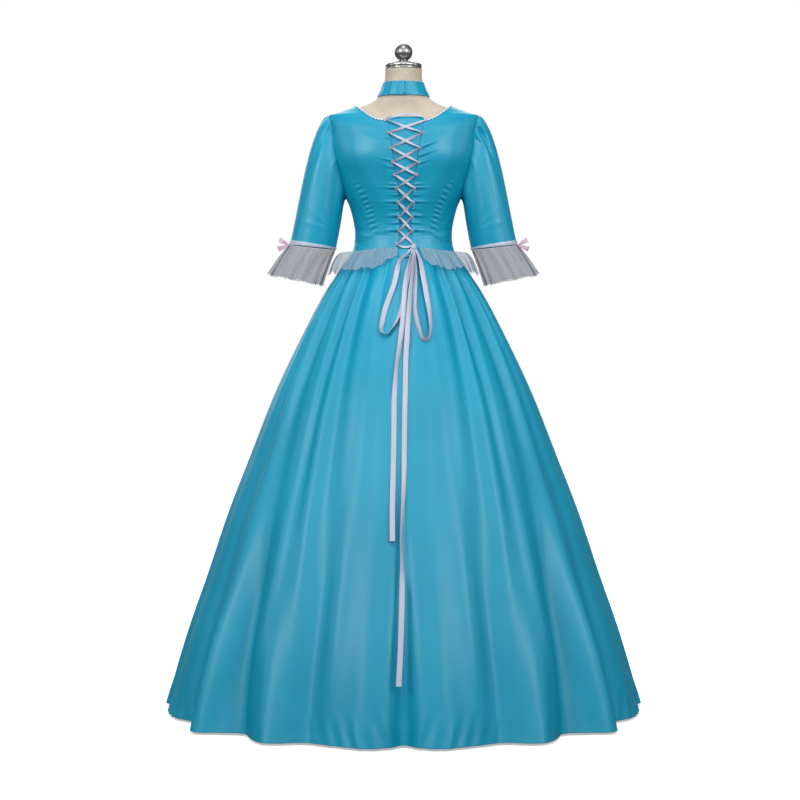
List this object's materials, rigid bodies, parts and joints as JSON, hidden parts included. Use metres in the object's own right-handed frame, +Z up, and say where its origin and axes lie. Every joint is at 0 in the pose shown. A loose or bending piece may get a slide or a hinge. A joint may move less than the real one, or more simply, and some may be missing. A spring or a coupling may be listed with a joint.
{
  "type": "wedding ball gown on dress form",
  "caption": "Ball gown with laced bodice, elbow sleeves with tulle ruffles, tulle peplum and full gathered skirt, worn by a limbless dress form on a pole and round base.",
  "frame": {"origin": "on the floor, under the middle of the stand's round base", "axes": "+Z up, the laced back faces -Y and the front faces +Y"},
  "size_m": [1.094, 1.1147, 1.5201],
  "materials": {
    "satin": "blue satin",
    "tulle": "white tulle",
    "ribbon": "pale pink satin ribbon",
    "linen": "beige linen",
    "metal": "polished"
  },
  "bodies": {
    "root": {"bodice_back_left": "satin", "bodice_back_right": "satin", "bodice_front": "satin", "bodice_side_back_left": "satin", "bodice_side_back_right": "satin", "bodice_side_front_left": "satin", "bodice_side_front_right": "satin", "modesty_panel": "satin", "lacing_tab": "satin", "skirt_back_left": "satin", "skirt_back_right": "satin", "skirt_front": "satin", "sleeve_left": "satin", "sleeve_right": "satin", "choker": "satin", "peplum": "tulle", "sleeve_ruffle_left": "tulle", "sleeve_ruffle_right": "tulle", "sleeve_ribbon_left": "ribbon", "sleeve_ribbon_right": "ribbon", "sleeve_bow_left": "ribbon", "sleeve_bow_right": "ribbon", "neck_trim_back_left": "ribbon", "neck_trim_back_right": "ribbon", "neck_trim_front": "ribbon", "lacing_over": "ribbon", "lacing_under": "ribbon", "bow_knot": "ribbon", "bow_loop_left": "ribbon", "bow_loop_right": "ribbon", "bow_tail_short": "ribbon", "bow_tail_long": "ribbon", "form_torso": "linen", "form_neck_cap": "metal", "form_finial": "metal", "form_pole": "metal", "form_base": "metal"}
  },
  "joints": []
}
